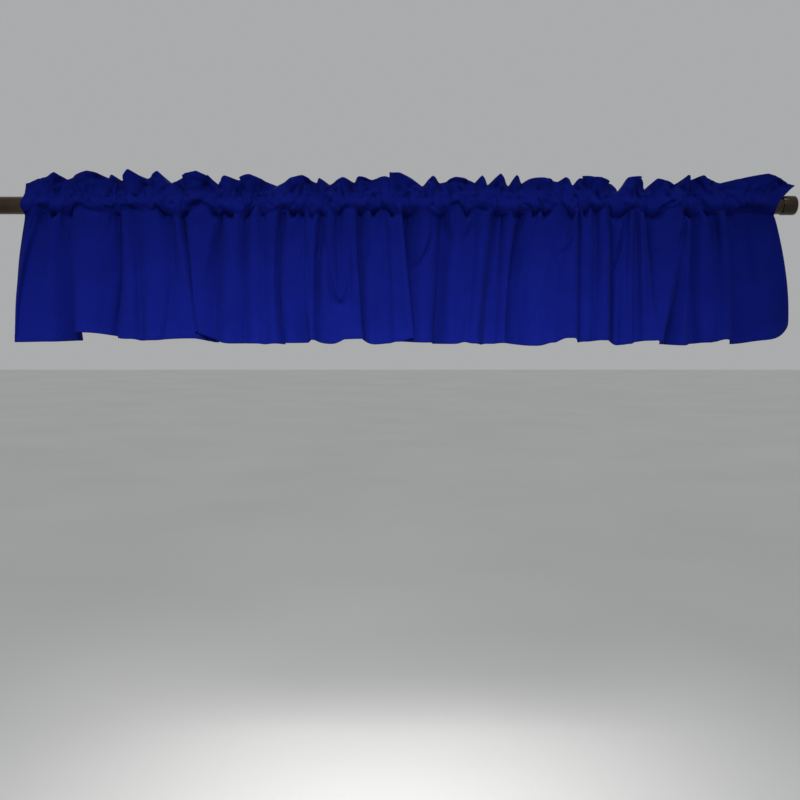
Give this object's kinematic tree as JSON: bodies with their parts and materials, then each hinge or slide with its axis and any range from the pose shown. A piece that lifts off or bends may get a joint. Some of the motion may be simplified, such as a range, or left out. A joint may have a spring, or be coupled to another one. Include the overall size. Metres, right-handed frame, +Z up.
{
  "type": "window valance on its curtain rod",
  "caption": "Gathered window valance: rod-pocket panels with ruffled header, hanging side by side on a straight rod with round end caps.",
  "frame": {"origin": "on the rod's axis, halfway along the rod; the wall brackets hold the rod on this axis", "axes": "+X along the rod to the viewer's right, +Y back to the wall, +Z up"},
  "size_m": [1.778, 0.0575, 0.3763],
  "materials": {
    "bronze_metal": "dark bronze, satin",
    "blue_cloth": "matte plain weave"
  },
  "bodies": {
    "root": {"rod": "bronze_metal", "end_cap_left": "bronze_metal", "end_cap_right": "bronze_metal", "panel_left": "blue_cloth", "panel_right": "blue_cloth"}
  },
  "joints": []
}
